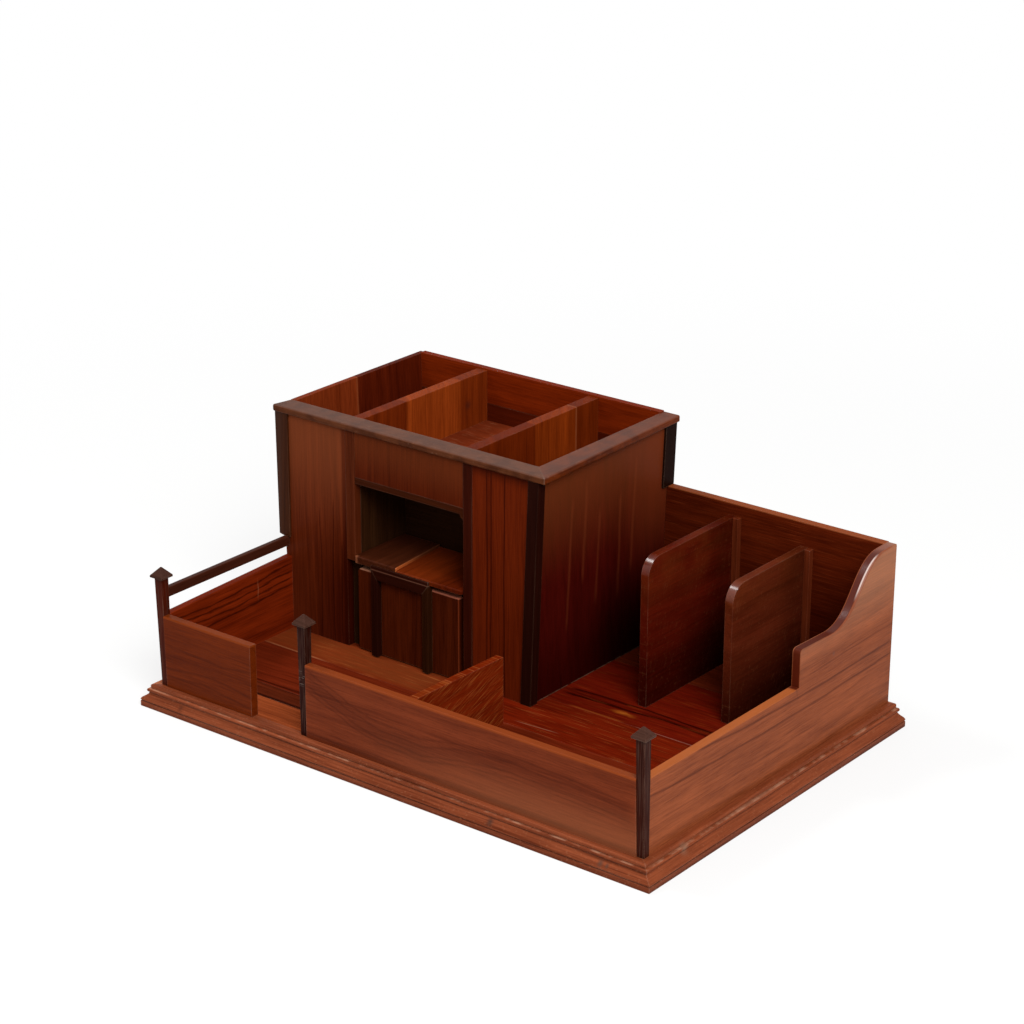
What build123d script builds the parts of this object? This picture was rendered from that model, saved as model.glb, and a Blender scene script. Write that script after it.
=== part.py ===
from build123d import *
import os

# Desk organizer: a moulded base tray with low walls and posts, a tower of wells with a niche,
# a lid and a drawer, and a letter rack. Millimetres, +Z up.
# Pieces are laid out from the outer front left corner of the walls: X runs right, Y runs back.
# The last step moves them all so that the origin is the bottom centre of the base.

# ---- overall ----
length = 400.0                  # left wall's outer face to right panel's outer face
depth = 280.8                   # front wall's outer face to back panel's outer face
board = 6.0                     # walls, dividers and tower front
thin_board = 5.0                # tower's left wall and back, drawer sides and back

# ---- base ----
floor_top = 16.0
floor_thickness = 10.0
floor_seams = (29.0, 45.0, 97.0, 145.0, 223.0)
moulding_inset = 4.0            # how far the moulding reaches in under the walls
rebate_lap = 10.0               # width of the rebate that carries the floor boards
front_reach = 8.0               # how far the moulding's foot stands out on each side
right_reach = 11.2
back_reach = 4.8
left_reach = 11.0
ledge_share = 0.46              # ledge beyond the walls, as a share of the reach
bead_share = 0.66               # small bead under the ledge
bead_bulge = 0.12               # how far the bead swells, as a share of the reach
quirk_share = 0.06              # the small grooves above the bead and under the nose
ledge_drop = 2.6                # height of the ledge's edge
ledge_round = 1.3
quirk = 0.5
bead_drop = 2.6
ogee_pull = 2.6                 # how far the ogee runs upright at its two ends
nose_height = 4.6

# ---- low walls and posts ----
wall_height = 51.0
side_wall_rise = 3.5            # the left wall's top climbs this much towards the tower
wall_edge_round = 0.8
gate_left = 84.5                # gap in the front wall, up to the gate post
post_foot_side = 5.4            # square posts that grow a little towards the head
post_head_side = 6.6
post_setback = 0.6              # post's front face behind the walls' front face
post_height = 77.6
post_left_foot = 4.3            # middles of the posts along X: each leans a little to the left
post_left_head = 2.0
post_gate_foot = 130.2
post_gate_head = 129.4
post_right_foot_inset = 1.8     # the right post's middle, from the right panel's outer face
post_right_head_inset = 3.6
cap_side = 11.0
cap_edge = 1.3
cap_rise = 5.6
cap_tip = 1.0                   # blunt tip of the pyramid
rail_side = 4.2
rail_height = 6.7
rail_top_height = 69.0          # above the floor

# ---- tray divider ----
divider_left = 215.0
divider_end = 94.0
divider_drop_front = 0.5        # below the front wall's top
divider_drop_back = 2.5

# ---- right side panel and back panel ----
back_height = 114.2             # above the floor
step_at = 168.0                 # where the side panel steps up
step_height = 77.0
step_round = 3.0
sweep_end_inset = 14.8          # the swept edge ends level this far before the back
sweep_run = 61.5
sweep_start_height = 75.7
sweep_lead = 31.0               # how long the curve leaves each end level
panel_back_round = 1.8

# ---- letter rack ----
rack_left_at = 272.5
rack_left_front = 173.5
rack_left_height = 105.5
rack_right_at = 330.0
rack_right_front = 186.5
rack_right_height = 97.0
rack_corner_round = 13.0
rack_cleat_side = 4.5

# ---- tower ----
tower_front = 127.7
tower_height = 164.6            # above the floor
tower_left_foot = 3.0           # both side walls lean out a little towards the top
tower_left_head = -3.6
tower_right_foot = 216.8
tower_right_head = 222.6
tower_left_board = 4.2
tower_back_lip = 1.0            # the back board stands this much above the rim
rim_thickness = 4.8
rim_front_width = 15.6
rim_right_width = 16.4          # at the front corner; it narrows towards the back
rim_overhang_front = 2.6
rim_overhang_right = 6.9
rim_overhang_back = 3.5         # right overhang at the back end
rim_overhang_left = 3.4
rim_round = 1.2
rim_end_round = 1.5
back_upper_height = 25.0
corner_proud = 1.5              # corner strips stand proud of the faces
corner_front_width = 8.6
corner_left_at_rail = -5.4      # left edge of the left corner strip, at its foot
corner_left_at_rim = -6.9       # and at its head
corner_left_end = 6.0           # its right edge
corner_left_bevel = 5.0         # width of the shallow bevel on its front
corner_back_width = 12.5
corner_back_proud = 1.8
strip_proud = 0.6
strip_width = 7.8
strip_right_width = 7.5

# ---- niche, partitions and middle tray ----
opening_left = 65.5
opening_right = 160.5
middle_tray_depth = 37.8        # rim's top to the middle tray's floor
niche_head_thickness = 4.5
niche_corner_round = 3.2
niche_depth = 52.3              # tower's front face to the niche back
niche_back_lap = 5.5            # how far the niche back reaches down behind the lid
partition_thickness = 8.5
partition_left_at = 54.0
partition_right_at = 152.5

# ---- lid: the niche's floor ----
lid_bottom_height = 65.5        # above the floor
lid_left_thickness = 5.0
lid_right_thickness = 3.2
lid_seam_front = 103.5          # the seam between the boards runs askew
lid_seam_back = 98.5
lid_side_gap = 0.4
lid_proud = 2.5
lid_back_gap = 2.0
lid_corner_round = 2.0
lid_edge_round = 1.0
lid_pivot_to_edge = 3.5         # pivot axis to the lid's back edge
pin_radius = 1.0
pin_clearance = 0.05
pin_in_lid = 8.0
pin_in_cheek = 4.0
pin_end_gap = 0.3
lid_cleat_width = 3.0
lid_cleat_height = 4.5
lid_cleat_swing = 6.0           # the cleats stop this far in front of the pivot
batten_width = 8.0
batten_thickness = 3.5
batten_inset = 4.5              # from the lid's side edge
batten_front_at = 11.0          # front batten, from the lid's front edge
batten_back_at = 30.0

# ---- drawer ----
drawer_gap_left = 0.8
drawer_gap_right = 4.4
drawer_gap_below = 0.3
drawer_front_lift = 0.7         # the face hangs this much clear of the drawer's running edge
drawer_gap_back = 0.5
drawer_setback = 0.4            # drawer face behind the tower's face
drawer_front_height = 60.0
drawer_front_thickness = 5.0
drawer_side_height = 53.7
drawer_side_inset = 2.0         # sides stand in from the front's ends
drawer_bottom_thickness = 3.0
drawer_edge_round = 1.2         # upright edges of the face
drawer_corner_round = 3.5       # top left corner of the face
drawer_top_round = 1.2
doorway_left = 82.0
doorway_right = 132.7
doorway_width = 5.6
doorway_head_width = 10.0
doorway_proud = 4.5
doorway_round = 0.6
doorway_rise = 2.4              # its top covers this much of the lid's front edge
doorway_gap_lid = 0.3
guide_height = 8.0
guide_gap = 0.5
guide_front_at = 8.0            # guides start this far behind the tower's face
guide_back_gap = 4.0

# ---- worked out from the sizes above ----
wall_top = floor_top + wall_height
post_top = floor_top + post_height
rail_top = floor_top + rail_top_height
back_top = floor_top + back_height
back_face = depth - board
sweep_end = depth - sweep_end_inset
sweep_start = sweep_end - sweep_run
post_right_foot = length - post_right_foot_inset
post_right_head = length - post_right_head_inset
tower_top = floor_top + tower_height
rim_under = tower_top - rim_thickness
tower_inner_front = tower_front + board
tower_inner_back = depth - thin_board
rim_left = tower_left_head - rim_overhang_left
rim_front = tower_front - rim_overhang_front
rim_inner_front = rim_front + rim_front_width
rim_right = tower_right_head + rim_overhang_right
rim_right_back = tower_right_head + rim_overhang_back
rim_inner_right = rim_right - rim_right_width
niche_head_top = tower_top - middle_tray_depth
niche_head_under = niche_head_top - niche_head_thickness
niche_back_at = tower_front + niche_depth
strip_left_at = opening_left - strip_width
strip_right_end = opening_right + strip_right_width
lid_bottom = floor_top + lid_bottom_height
lid_front = tower_front - lid_proud
lid_back = niche_back_at - lid_back_gap
lid_left = opening_left + lid_side_gap
lid_right = opening_right - lid_side_gap
pivot_y = lid_back - lid_pivot_to_edge
pivot_z = lid_bottom + lid_right_thickness / 2
drawer_face = tower_front + drawer_setback
drawer_left = opening_left + drawer_gap_left
drawer_right = opening_right - drawer_gap_right
drawer_foot = floor_top + drawer_gap_below
drawer_front_foot = drawer_foot + drawer_front_lift
drawer_top = drawer_front_foot + drawer_front_height
drawer_side_top = drawer_foot + drawer_side_height
drawer_back_face = drawer_face + drawer_front_thickness
drawer_end = tower_inner_back - drawer_gap_back
drawer_side_left = drawer_left + drawer_side_inset
drawer_side_right = drawer_right - drawer_side_inset
doorway_top = lid_bottom + doorway_rise
doorway_bar_top = lid_bottom - doorway_gap_lid
doorway_front = drawer_face - doorway_proud


# ---- helpers ----
def block(x0, x1, y0, y1, z0, z1):
    """A square-edged board between two opposite corners."""
    low = (Align.MIN, Align.MIN, Align.MIN)
    return Pos(x0, y0, z0) * Box(x1 - x0, y1 - y0, z1 - z0, align=low)


def outline(points):
    """A flat face from its corners."""
    return make_face(Polyline(*points, close=True))


def along_x(face, x0, x1):
    """Extrude a face drawn in (y, z) from x0 to x1."""
    return extrude(Plane.YZ.offset(x0) * face, x1 - x0)


def along_y(face, y0, y1):
    """Extrude a face drawn in (x, z) from y0 to y1."""
    return extrude(Plane.XZ.offset(-y1) * face, y1 - y0)


def along_z(face, z0, z1):
    """Extrude a face drawn in (x, y) from z0 to z1."""
    return extrude(Plane.XY.offset(z0) * face, z1 - z0)


def round_corners(face, corners, radius):
    """Round the named corners of a flat face."""
    vertices = [face.vertices().sort_by_distance((*corner, 0))[0] for corner in corners]
    return fillet(vertices, radius)


def ease(solid, axis, radius, picks):
    """Round the edges that run along an axis, nearest to the given points."""
    edges = solid.edges().filter_by(axis)
    return fillet([edges.sort_by_distance(point)[0] for point in picks], radius)


def left_face(z):
    """The tower's left outer face at a height: it leans out towards the top."""
    return tower_left_foot + (tower_left_head - tower_left_foot) * (z - floor_top) / tower_height


def right_face(z):
    """The tower's right outer face at a height."""
    return tower_right_foot + (tower_right_head - tower_right_foot) * (z - floor_top) / tower_height


def leaning(face, x_offset_left, x_offset_right, y0, y1, z0, z1):
    """A board that follows one of the tower's side faces, with both edges leaning."""
    corners = [(face(z0) + x_offset_left, z0), (face(z0) + x_offset_right, z0),
               (face(z1) + x_offset_right, z1), (face(z1) + x_offset_left, z1)]
    return along_y(outline(corners), y0, y1)


def post_middle(foot, head, z):
    """Middle of a leaning post at a height."""
    return foot + (head - foot) * (z - floor_top) / post_height


def post_side(z):
    """Width of a post at a height."""
    return post_middle(post_foot_side, post_head_side, z)


def post_back(z):
    """Back face of the posts at a height."""
    return post_setback + post_side(z)


# ---- base ----
def base_profile(reach):
    """Section of the base: ledge, bead and ogee outside, a rebate inside.
    Everything outside the walls stretches with the reach, so unequal sides still mitre."""
    ledge_under = floor_top - ledge_drop
    bead_top = ledge_under - quirk
    bead_under = bead_top - bead_drop
    rebate_top = floor_top - floor_thickness
    reach_in = moulding_inset + rebate_lap

    def at(share, z):
        return (-share * reach, z)

    swell = bead_share + bead_bulge / 3
    bead_back = bead_share - bead_bulge
    top = Line((moulding_inset, floor_top), at(ledge_share - ledge_round / front_reach, floor_top))
    ledge = Bezier(top @ 1, at(ledge_share, floor_top), at(ledge_share, floor_top - ledge_round))
    groove = Polyline(ledge @ 1, at(ledge_share, ledge_under), at(ledge_share - quirk_share, bead_top),
                      at(bead_back, bead_top))
    bead = Bezier(groove @ 1, at(swell, bead_top), at(swell, bead_under), at(bead_back, bead_under))
    ogee = Bezier(bead @ 1, at(bead_back, bead_under - ogee_pull), at(1, nose_height + ogee_pull),
                  at(1, nose_height))
    foot = Polyline(ogee @ 1, at(1 - quirk_share, nose_height - quirk), at(1, nose_height - 2 * quirk),
                    at(1, 0), (reach_in, 0), (reach_in, rebate_top), (moulding_inset, rebate_top),
                    (moulding_inset, floor_top))
    return make_face([top, ledge, groove, bead, ogee, foot])


def base_moulding(span, reach, reach_at_start, reach_at_end):
    """One side of the base, mitred to its neighbours, which stand out by their own reach.
    The side runs along +X from the origin, with its outside facing -Y."""
    reach_in = moulding_inset + rebate_lap
    run = along_x(base_profile(reach), -reach_at_start, span + reach_at_end)
    mitre = outline([(-reach_at_start, -reach), (span + reach_at_end, -reach), (span, 0),
                     (span - reach_in, reach_in), (reach_in, reach_in), (0, 0)])
    return run & along_z(mitre, 0, floor_top)


def base_mouldings():
    front = base_moulding(length, front_reach, left_reach, right_reach)
    right = base_moulding(depth, right_reach, front_reach, back_reach)
    back = base_moulding(length, back_reach, right_reach, left_reach)
    left = base_moulding(depth, left_reach, back_reach, front_reach)
    return {
        "base_moulding_front": front,
        "base_moulding_right": Pos(length, 0, 0) * Rot(0, 0, 90) * right,
        "base_moulding_back": Pos(length, depth, 0) * Rot(0, 0, 180) * back,
        "base_moulding_left": Pos(0, depth, 0) * Rot(0, 0, 270) * left,
    }


def floor_boards():
    edges = [moulding_inset, *floor_seams, depth - moulding_inset]
    bottom = floor_top - floor_thickness
    right = length - moulding_inset
    return {
        f"floor_board_{number}": block(moulding_inset, right, front, back, bottom, floor_top)
        for number, (front, back) in enumerate(zip(edges, edges[1:]), 1)
    }


# ---- low walls ----
def front_wall(left_foot, left_head, right_foot, right_head):
    """A board of the front wall, whose ends follow the posts beside it."""
    corners = [(left_foot, floor_top), (right_foot, floor_top),
               (right_head, wall_top), (left_head, wall_top)]
    wall = along_y(outline(corners), 0, board)
    middle = (left_head + right_head) / 2
    return ease(wall, Axis.X, wall_edge_round, [(middle, 0, wall_top), (middle, board, wall_top)])


def front_walls():
    ends = []
    for z in (floor_top, wall_top):
        half = post_side(z) / 2
        ends.append((post_middle(post_left_foot, post_left_head, z) + half,
                     post_middle(post_gate_foot, post_gate_head, z) + half,
                     post_middle(post_right_foot, post_right_head, z) - half))
    (left_foot, gate_foot, right_foot), (left_head, gate_head, right_head) = ends
    return {
        "front_wall_left": front_wall(left_foot, left_head, gate_left, gate_left),
        "front_wall_right": front_wall(gate_foot, gate_head, right_foot, right_head),
    }


def side_wall_left():
    """Its top climbs a little towards the tower."""
    corners = [(post_back(floor_top), floor_top), (tower_front, floor_top),
               (tower_front, wall_top + side_wall_rise), (post_back(wall_top), wall_top)]
    wall = along_x(outline(corners), 0, board)
    top = wall.faces().sort_by(Axis.Z)[-1]
    long_edges = top.edges().sort_by(SortBy.LENGTH)[-2:]
    return fillet(long_edges, wall_edge_round)


def tray_divider():
    corners = [(board, floor_top), (divider_end, floor_top),
               (divider_end, wall_top - divider_drop_back), (board, wall_top - divider_drop_front)]
    return along_x(outline(corners), divider_left, divider_left + board)


def side_panel_right():
    """The right side: low at the front, a step, then an S-curve up to the back panel's height."""
    step_top = floor_top + step_height
    sweep_low = floor_top + sweep_start_height
    lower = Polyline((sweep_start, sweep_low), (step_at, step_top), (step_at, wall_top),
                     (post_back(wall_top), wall_top), (post_back(floor_top), floor_top), (depth, floor_top),
                     (depth, back_top), (sweep_end, back_top))
    sweep_edge = Bezier((sweep_end, back_top), (sweep_end - sweep_lead, back_top),
                        (sweep_start + sweep_lead, sweep_low), (sweep_start, sweep_low))
    face = make_face([lower, sweep_edge])
    face = round_corners(face, [(step_at, step_top)], step_round)
    face = round_corners(face, [(depth, back_top)], panel_back_round)
    return along_x(face, length - board, length)


def back_panel():
    corners = [(right_face(floor_top), floor_top), (length - board, floor_top),
               (length - board, back_top), (right_face(back_top), back_top)]
    return along_y(outline(corners), back_face, depth)


# ---- posts and rail ----
def post(foot, head):
    """A slim square post from the middles of its foot and head along X."""
    half_foot = post_foot_side / 2
    half_head = post_head_side / 2
    front = outline([(foot - half_foot, floor_top), (foot + half_foot, floor_top),
                     (head + half_head, post_top), (head - half_head, post_top)])
    side = outline([(post_setback, floor_top), (post_back(floor_top), floor_top),
                    (post_back(post_top), post_top), (post_setback, post_top)])
    return along_y(front, 0, post_back(post_top)) & along_x(side, foot - board, foot + board)


def post_cap(head):
    """A square cap with a low pyramid on it: one gabled outline, cut both ways."""
    half = cap_side / 2
    tip = cap_tip / 2
    gable = outline([(-half, 0), (half, 0), (half, cap_edge), (tip, cap_edge + cap_rise),
                     (-tip, cap_edge + cap_rise), (-half, cap_edge)])
    cap = along_x(gable, -half, half) & along_y(gable, -half, half)
    return Pos(head, post_setback + post_head_side / 2, post_top) * cap


def posts_and_caps():
    places = {"left": (post_left_foot, post_left_head), "gate": (post_gate_foot, post_gate_head),
              "right": (post_right_foot, post_right_head)}
    posts = {f"post_{name}": post(foot, head) for name, (foot, head) in places.items()}
    caps = Compound(children=[post_cap(head) for foot, head in places.values()])
    return {**posts, "post_caps": caps}


def side_rail():
    rail_foot = rail_top - rail_height
    corners = [(post_back(rail_foot), rail_foot), (tower_front, rail_foot), (tower_front, rail_top),
               (post_back(rail_top), rail_top)]
    rail = along_x(outline(corners), 0, rail_side)
    middle = tower_front / 2
    return ease(rail, Axis.Y, wall_edge_round, [(0, middle, rail_top), (rail_side, middle, rail_top)])


# ---- letter rack ----
def rack_divider(x0, front, height):
    top = floor_top + height
    corners = [(front, floor_top), (back_face, floor_top), (back_face, top), (front, top)]
    face = round_corners(outline(corners), [(front, top)], rack_corner_round)
    return along_x(face, x0, x0 + board)


def rack_cleats():
    cleats = []
    for x0, height in ((rack_left_at, rack_left_height), (rack_right_at, rack_right_height)):
        start = x0 + board
        cleats.append(block(start, start + rack_cleat_side, back_face - rack_cleat_side, back_face,
                            floor_top, floor_top + height))
    return Compound(children=cleats)


# ---- tower shell ----
def tower_wall_left():
    """Its top edge is notched at the front, where the rim lies over it."""
    wall = leaning(left_face, 0, tower_left_board, tower_inner_front, depth, floor_top, tower_top)
    notch = block(rim_left, partition_left_at, tower_inner_front, rim_inner_front, rim_under, tower_top)
    return wall - notch


def tower_wall_right():
    return leaning(right_face, -board, 0, tower_inner_front, depth, floor_top, rim_under)


def tower_back_lower():
    top = tower_top - back_upper_height
    left = tower_left_board
    corners = [(left_face(floor_top) + left, floor_top), (right_face(floor_top) - board, floor_top),
               (right_face(top) - board, top), (left_face(top) + left, top)]
    return along_y(outline(corners), tower_inner_back, depth)


def tower_back_upper():
    """It ends at the rim on the right and stands a little above it."""
    bottom = tower_top - back_upper_height
    top = tower_top + tower_back_lip
    corners = [(left_face(bottom) + tower_left_board, bottom), (right_face(bottom) - board, bottom),
               (right_face(rim_under) - board, rim_under), (rim_inner_right, rim_under),
               (rim_inner_right, top), (left_face(top) + tower_left_board, top)]
    return along_y(outline(corners), tower_inner_back, depth)


def tower_front_board_left():
    corners = [(left_face(floor_top), floor_top), (strip_left_at, floor_top),
               (strip_left_at, rim_under), (left_face(rim_under), rim_under)]
    return along_y(outline(corners), tower_front, tower_inner_front)


def tower_front_board_right():
    inset = corner_proud - corner_front_width
    corners = [(strip_right_end, floor_top), (right_face(floor_top) + inset, floor_top),
               (right_face(rim_under) + inset, rim_under), (strip_right_end, rim_under)]
    return along_y(outline(corners), tower_front, tower_inner_front)


def front_strip(x0, x1, foot):
    return block(x0, x1, tower_front - strip_proud, tower_inner_front, foot, rim_under)


def lintel_board():
    return block(opening_left, opening_right, tower_front, tower_inner_front, niche_head_top, rim_under)


def niche_head():
    """The strip over the niche, with a small rounded bracket in its right corner."""
    drop = niche_head_under - niche_corner_round
    start = opening_right - niche_corner_round
    body = Polyline((start, niche_head_under), (opening_left, niche_head_under),
                    (opening_left, niche_head_top), (opening_right, niche_head_top), (opening_right, drop))
    corner = RadiusArc((opening_right, drop), (start, niche_head_under), niche_corner_round)
    return along_y(make_face([body, corner]), tower_front, tower_inner_front)


def tower_corner_right():
    return leaning(right_face, corner_proud - corner_front_width, corner_proud,
                   tower_front - corner_proud, tower_inner_front, floor_top, rim_under)


def tower_corner_left():
    """An angle strip round the left corner that stops on the side rail. Its left edge
    leans out more than the wall does, and its front has a shallow bevel."""
    front = tower_front - corner_proud
    angle = along_y(outline([
        (corner_left_at_rail, rail_top), (corner_left_end, rail_top),
        (corner_left_end, rim_under), (corner_left_at_rim, rim_under),
    ]), front, tower_inner_front)
    behind = along_y(outline([
        (left_face(rail_top), rail_top), (corner_left_end, rail_top),
        (corner_left_end, rim_under), (left_face(rim_under), rim_under),
    ]), tower_front, tower_inner_front)
    shaving = outline([
        (corner_left_at_rim, front), (corner_left_at_rail + corner_left_bevel, front),
        (corner_left_at_rail, tower_front), (corner_left_at_rim, tower_front),
    ])
    return angle - behind - along_z(shaving, rail_top, rim_under)


def tower_corner_back():
    return leaning(right_face, 0, corner_back_proud, depth - corner_back_width, depth, back_top, rim_under)


# ---- tower inside ----
def partition(x0):
    """It stands on the middle tray's floor and is notched under the rim."""
    corners = [(tower_inner_front, niche_head_top), (tower_inner_back, niche_head_top),
               (tower_inner_back, tower_top), (rim_inner_front, tower_top),
               (rim_inner_front, rim_under), (tower_inner_front, rim_under)]
    return along_x(outline(corners), x0, x0 + partition_thickness)


def tray_floor():
    return block(partition_left_at, strip_right_end, tower_inner_front, tower_inner_back,
                 niche_head_under, niche_head_top)


def niche_cheek(outer_face, inner_face):
    """A side of the niche and of the drawer's bay, with a blind hole for the lid's pin."""
    x0, x1 = sorted((outer_face, inner_face))
    cheek = block(x0, x1, tower_inner_front, tower_inner_back, floor_top, niche_head_under)
    hole_depth = pin_in_cheek + pin_end_gap
    hole_middle = inner_face + hole_depth / 2 if inner_face < outer_face else inner_face - hole_depth / 2
    bore = Cylinder(pin_radius + pin_clearance, hole_depth)
    return cheek - Pos(hole_middle, pivot_y, pivot_z) * Rot(0, 90, 0) * bore


def niche_back():
    bottom = lid_bottom - niche_back_lap
    return block(opening_left, opening_right, niche_back_at, niche_back_at + thin_board, bottom,
                 niche_head_under)


# ---- rim ----
def rim_front_strip():
    """Its left end is cut askew, from the overhanging tip back to the wall's face."""
    plan = outline([(rim_left, rim_front), (rim_right, rim_front),
                    (rim_inner_right, rim_inner_front), (tower_left_head, rim_inner_front)])
    plan = round_corners(plan, [(rim_left, rim_front)], rim_end_round)
    middle = (rim_left + rim_right) / 2
    strip = along_z(plan, rim_under, tower_top)
    return ease(strip, Axis.X, rim_round, [(middle, rim_front, tower_top), (middle, rim_front, rim_under)])


def rim_right_strip():
    """It narrows towards the back."""
    plan = outline([(rim_right, rim_front), (rim_right_back, depth), (rim_inner_right, depth),
                    (rim_inner_right, rim_inner_front)])
    strip = along_z(plan, rim_under, tower_top)
    middle = ((rim_right + rim_right_back) / 2, (rim_front + depth) / 2)
    outer = strip.faces().sort_by_distance((*middle, (rim_under + tower_top) / 2))[0]
    return fillet(outer.edges().sort_by(SortBy.LENGTH)[-2:], rim_round)


# ---- lid ----
def lid_board(outer_edge, inwards, thickness):
    """One board of the lid, with a blind hole in its outer edge for the pin."""
    plan = outline([(outer_edge, lid_front), (lid_seam_front, lid_front), (lid_seam_back, lid_back),
                    (outer_edge, lid_back)])
    plan = round_corners(plan, [(outer_edge, lid_front)], lid_corner_round)
    lid = along_z(plan, lid_bottom, lid_bottom + thickness)
    middle = (outer_edge + lid_seam_front) / 2
    lid = ease(lid, Axis.X, lid_edge_round, [(middle, lid_front, lid_bottom + thickness)])
    hole_depth = pin_in_lid + pin_end_gap
    hole = Pos(outer_edge + inwards * hole_depth / 2, pivot_y, pivot_z) * Rot(0, 90, 0) * Cylinder(
        pin_radius + pin_clearance, hole_depth)
    return lid - hole


def lid_pins():
    """Two wire pins on the pivot axis, from the lid's edges into the cheeks."""
    reach = pin_in_lid + lid_side_gap + pin_in_cheek
    pins = []
    for edge, outwards in ((lid_left, -1), (lid_right, 1)):
        centre = edge + outwards * (reach / 2 - pin_in_lid)
        pins.append(Pos(centre, pivot_y, pivot_z) * Rot(0, 90, 0) * Cylinder(pin_radius, reach))
    return Compound(children=pins)


def lid_battens():
    left = lid_left + batten_inset
    right = lid_right - batten_inset
    bottom = lid_bottom - batten_thickness
    battens = [block(left, right, lid_front + start, lid_front + start + batten_width, bottom, lid_bottom)
               for start in (batten_front_at, batten_back_at)]
    return Compound(children=battens)


def lid_cleats():
    back = pivot_y - lid_cleat_swing
    bottom = lid_bottom - lid_cleat_height
    right = opening_right - lid_cleat_width
    return Compound(children=[
        block(start, start + lid_cleat_width, tower_inner_front, back, bottom, lid_bottom)
        for start in (opening_left, right)
    ])


# ---- drawer ----
def drawer_front():
    """The drawer's face, with eased edges and a rounded top left corner."""
    corners = [(drawer_left, drawer_front_foot), (drawer_right, drawer_front_foot),
               (drawer_right, drawer_top), (drawer_left, drawer_top)]
    elevation = round_corners(outline(corners), [(drawer_left, drawer_top)], drawer_corner_round)
    face = along_y(elevation, drawer_face, drawer_back_face)
    middle_x = (drawer_left + drawer_right) / 2
    middle_z = (drawer_front_foot + drawer_top) / 2
    face = ease(face, Axis.Z, drawer_edge_round, [(drawer_right, drawer_face, middle_z)])
    return ease(face, Axis.X, drawer_top_round, [(middle_x, drawer_face, drawer_top)])


def doorway_stile(outer, inner):
    """An upright of the doorway moulding, mitred to the head."""
    corners = [(outer, drawer_front_foot), (inner, drawer_front_foot),
               (inner, doorway_top - doorway_head_width), (outer, doorway_bar_top)]
    stile = along_y(outline(corners), doorway_front, drawer_face)
    middle = (drawer_front_foot + doorway_bar_top) / 2
    arrises = [(outer, doorway_front, middle), (inner, doorway_front, middle)]
    return ease(stile, Axis.Z, doorway_round, arrises)


def doorway_head():
    """A bar that ends just under the lid, and a thin lip that rises before the lid's edge."""
    bottom = doorway_top - doorway_head_width
    corners = [(doorway_left, doorway_bar_top), (doorway_left + doorway_width, bottom),
               (doorway_right - doorway_width, bottom), (doorway_right, doorway_bar_top)]
    middle = (doorway_left + doorway_right) / 2
    bar = along_y(outline(corners), doorway_front, drawer_face)
    bar = ease(bar, Axis.X, doorway_round, [(middle, doorway_front, bottom)])
    lip = block(doorway_left, doorway_right, doorway_front, lid_front - doorway_gap_lid,
                doorway_bar_top, doorway_top)
    lip = ease(lip, Axis.X, doorway_round, [(middle, doorway_front, doorway_top)])
    return Compound(children=[bar, lip])


def drawer_side(x0):
    return block(x0, x0 + thin_board, drawer_back_face, drawer_end, drawer_foot, drawer_side_top)


def drawer_back():
    return block(drawer_side_left + thin_board, drawer_side_right - thin_board,
                 drawer_end - thin_board, drawer_end, drawer_foot, drawer_side_top)


def drawer_bottom():
    return block(drawer_side_left + thin_board, drawer_side_right - thin_board,
                 drawer_back_face, drawer_end - thin_board,
                 drawer_foot, drawer_foot + drawer_bottom_thickness)


def drawer_guides():
    front = tower_front + guide_front_at
    back = tower_inner_back - guide_back_gap
    top = floor_top + guide_height
    return Compound(children=[
        block(opening_left, drawer_side_left - guide_gap, front, back, floor_top, top),
        block(drawer_side_right + guide_gap, opening_right, front, back, floor_top, top),
    ])


# ---- the whole object ----
pieces = {
    **base_mouldings(),
    **floor_boards(),
    **front_walls(),
    "side_wall_left": side_wall_left(),
    "tray_divider": tray_divider(),
    "side_panel_right": side_panel_right(),
    "back_panel": back_panel(),
    **posts_and_caps(),
    "side_rail": side_rail(),
    "rack_divider_left": rack_divider(rack_left_at, rack_left_front, rack_left_height),
    "rack_divider_right": rack_divider(rack_right_at, rack_right_front, rack_right_height),
    "rack_cleats": rack_cleats(),
    "tower_wall_left": tower_wall_left(),
    "tower_wall_right": tower_wall_right(),
    "tower_back_lower": tower_back_lower(),
    "tower_back_upper": tower_back_upper(),
    "tower_front_board_left": tower_front_board_left(),
    "tower_front_board_right": tower_front_board_right(),
    "front_strip_left": front_strip(strip_left_at, opening_left, lid_bottom),
    "front_strip_right": front_strip(opening_right, strip_right_end, floor_top),
    "lintel_board": lintel_board(),
    "niche_head": niche_head(),
    "tower_corner_right": tower_corner_right(),
    "tower_corner_left": tower_corner_left(),
    "tower_corner_back": tower_corner_back(),
    "partition_left": partition(partition_left_at),
    "partition_right": partition(partition_right_at),
    "tray_floor": tray_floor(),
    "niche_cheek_left": niche_cheek(strip_left_at, opening_left),
    "niche_cheek_right": niche_cheek(strip_right_end, opening_right),
    "niche_back": niche_back(),
    "rim_front": rim_front_strip(),
    "rim_right": rim_right_strip(),
    "lid_board_left": lid_board(lid_left, 1, lid_left_thickness),
    "lid_board_right": lid_board(lid_right, -1, lid_right_thickness),
    "lid_battens": lid_battens(),
    "lid_pins": lid_pins(),
    "lid_cleats": lid_cleats(),
    "drawer_front": drawer_front(),
    "doorway_stile_left": doorway_stile(doorway_left, doorway_left + doorway_width),
    "doorway_stile_right": doorway_stile(doorway_right, doorway_right - doorway_width),
    "doorway_head": doorway_head(),
    "drawer_side_left": drawer_side(drawer_side_left),
    "drawer_side_right": drawer_side(drawer_side_right - thin_board),
    "drawer_back": drawer_back(),
    "drawer_bottom": drawer_bottom(),
    "drawer_guides": drawer_guides(),
}

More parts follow.
